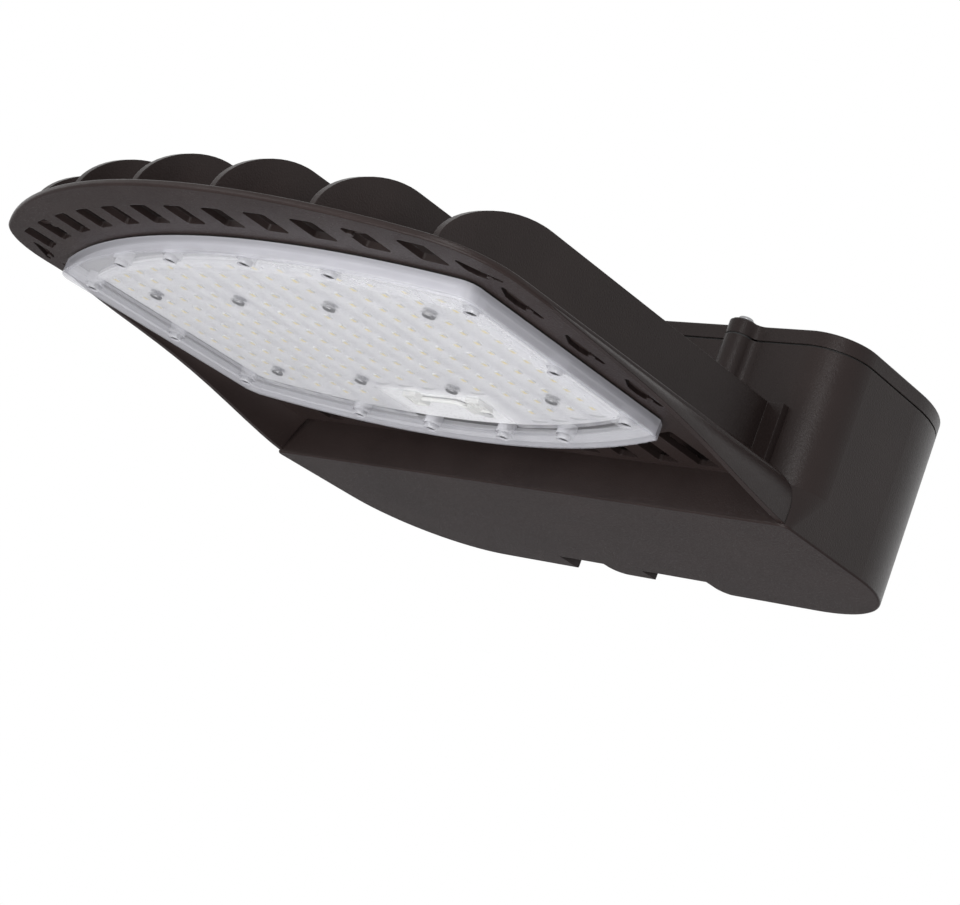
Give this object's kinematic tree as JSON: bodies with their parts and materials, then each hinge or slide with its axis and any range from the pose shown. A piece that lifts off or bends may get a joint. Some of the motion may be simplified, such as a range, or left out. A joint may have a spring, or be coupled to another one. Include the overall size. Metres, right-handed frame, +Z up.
{
  "type": "outdoor led flood light",
  "caption": "Leaf-shaped finned LED flood light head with a clear lens below and a rear driver box with a hinged lid.",
  "frame": {"origin": "centre of the arm pad's face on the rear of the driver box", "axes": "+Y out of the arm pad, away from the light; +Z up; +X to the right seen from the nose"},
  "size_m": [0.36, 0.4145, 0.099],
  "materials": {
    "bronze_coat": "dark bronze fine-texture powder coat on die-cast aluminium",
    "clear_cover": "clear moulded polycarbonate",
    "optic": "clear ridged optic over a white board",
    "seal_rubber": "black silicone seal",
    "steel": "stainless steel",
    "heat_pad": "grey heat pad",
    "white_board": "white solder mask",
    "phosphor": "yellow phosphor",
    "white_plastic": "white nylon",
    "white_insulation": "white silicone insulation",
    "black_insulation": "black insulation",
    "driver_case": "plain aluminium case",
    "dark_plastic": "black potted plastic",
    "green_steel": "green passivated steel",
    "tinned_copper": "tinned copper"
  },
  "bodies": {
    "luminaire": {"head_casting": "bronze_coat", "driver_box": "bronze_coat", "lens_cover": "clear_cover", "optic_sheet": "optic", "lens_gasket": "seal_rubber", "box_gasket": "seal_rubber", "duct_seal": "seal_rubber", "duct_grommet": "seal_rubber", "wire_entry_bush": "seal_rubber", "lens_screws": "steel", "board_screws": "steel", "head_screws": "steel", "fitting_screws": "steel", "terminal_screws": "steel", "lid_hinge_pins": "steel", "thermal_pad": "heat_pad", "led_board": "white_board", "led_chips": "phosphor", "board_connectors": "white_plastic", "terminal_block": "white_plastic", "led_leads": "white_insulation", "supply_leads": "black_insulation", "led_driver": "driver_case", "surge_protector": "dark_plastic", "earth_screw": "green_steel", "earth_lug": "tinned_copper"},
    "lid": {"box_lid": "bronze_coat"},
    "left_lid_screw": {"lid_screw_left": "steel"},
    "right_lid_screw": {"lid_screw_right": "steel"}
  },
  "joints": [
    {"name": "lid_hinge", "type": "hinge", "parent": "luminaire", "child": "lid", "pos_m": [0, -0.0052, 0.0384], "axis": [-1, 0, 0], "range_deg": [0, 100]},
    {"name": "left_screw_lift", "type": "slide", "parent": "lid", "child": "left_lid_screw", "axis": [0, 0, 1], "range_m": [0, 0.009]},
    {"name": "right_screw_lift", "type": "slide", "parent": "lid", "child": "right_lid_screw", "axis": [0, 0, 1], "range_m": [0, 0.009]}
  ]
}
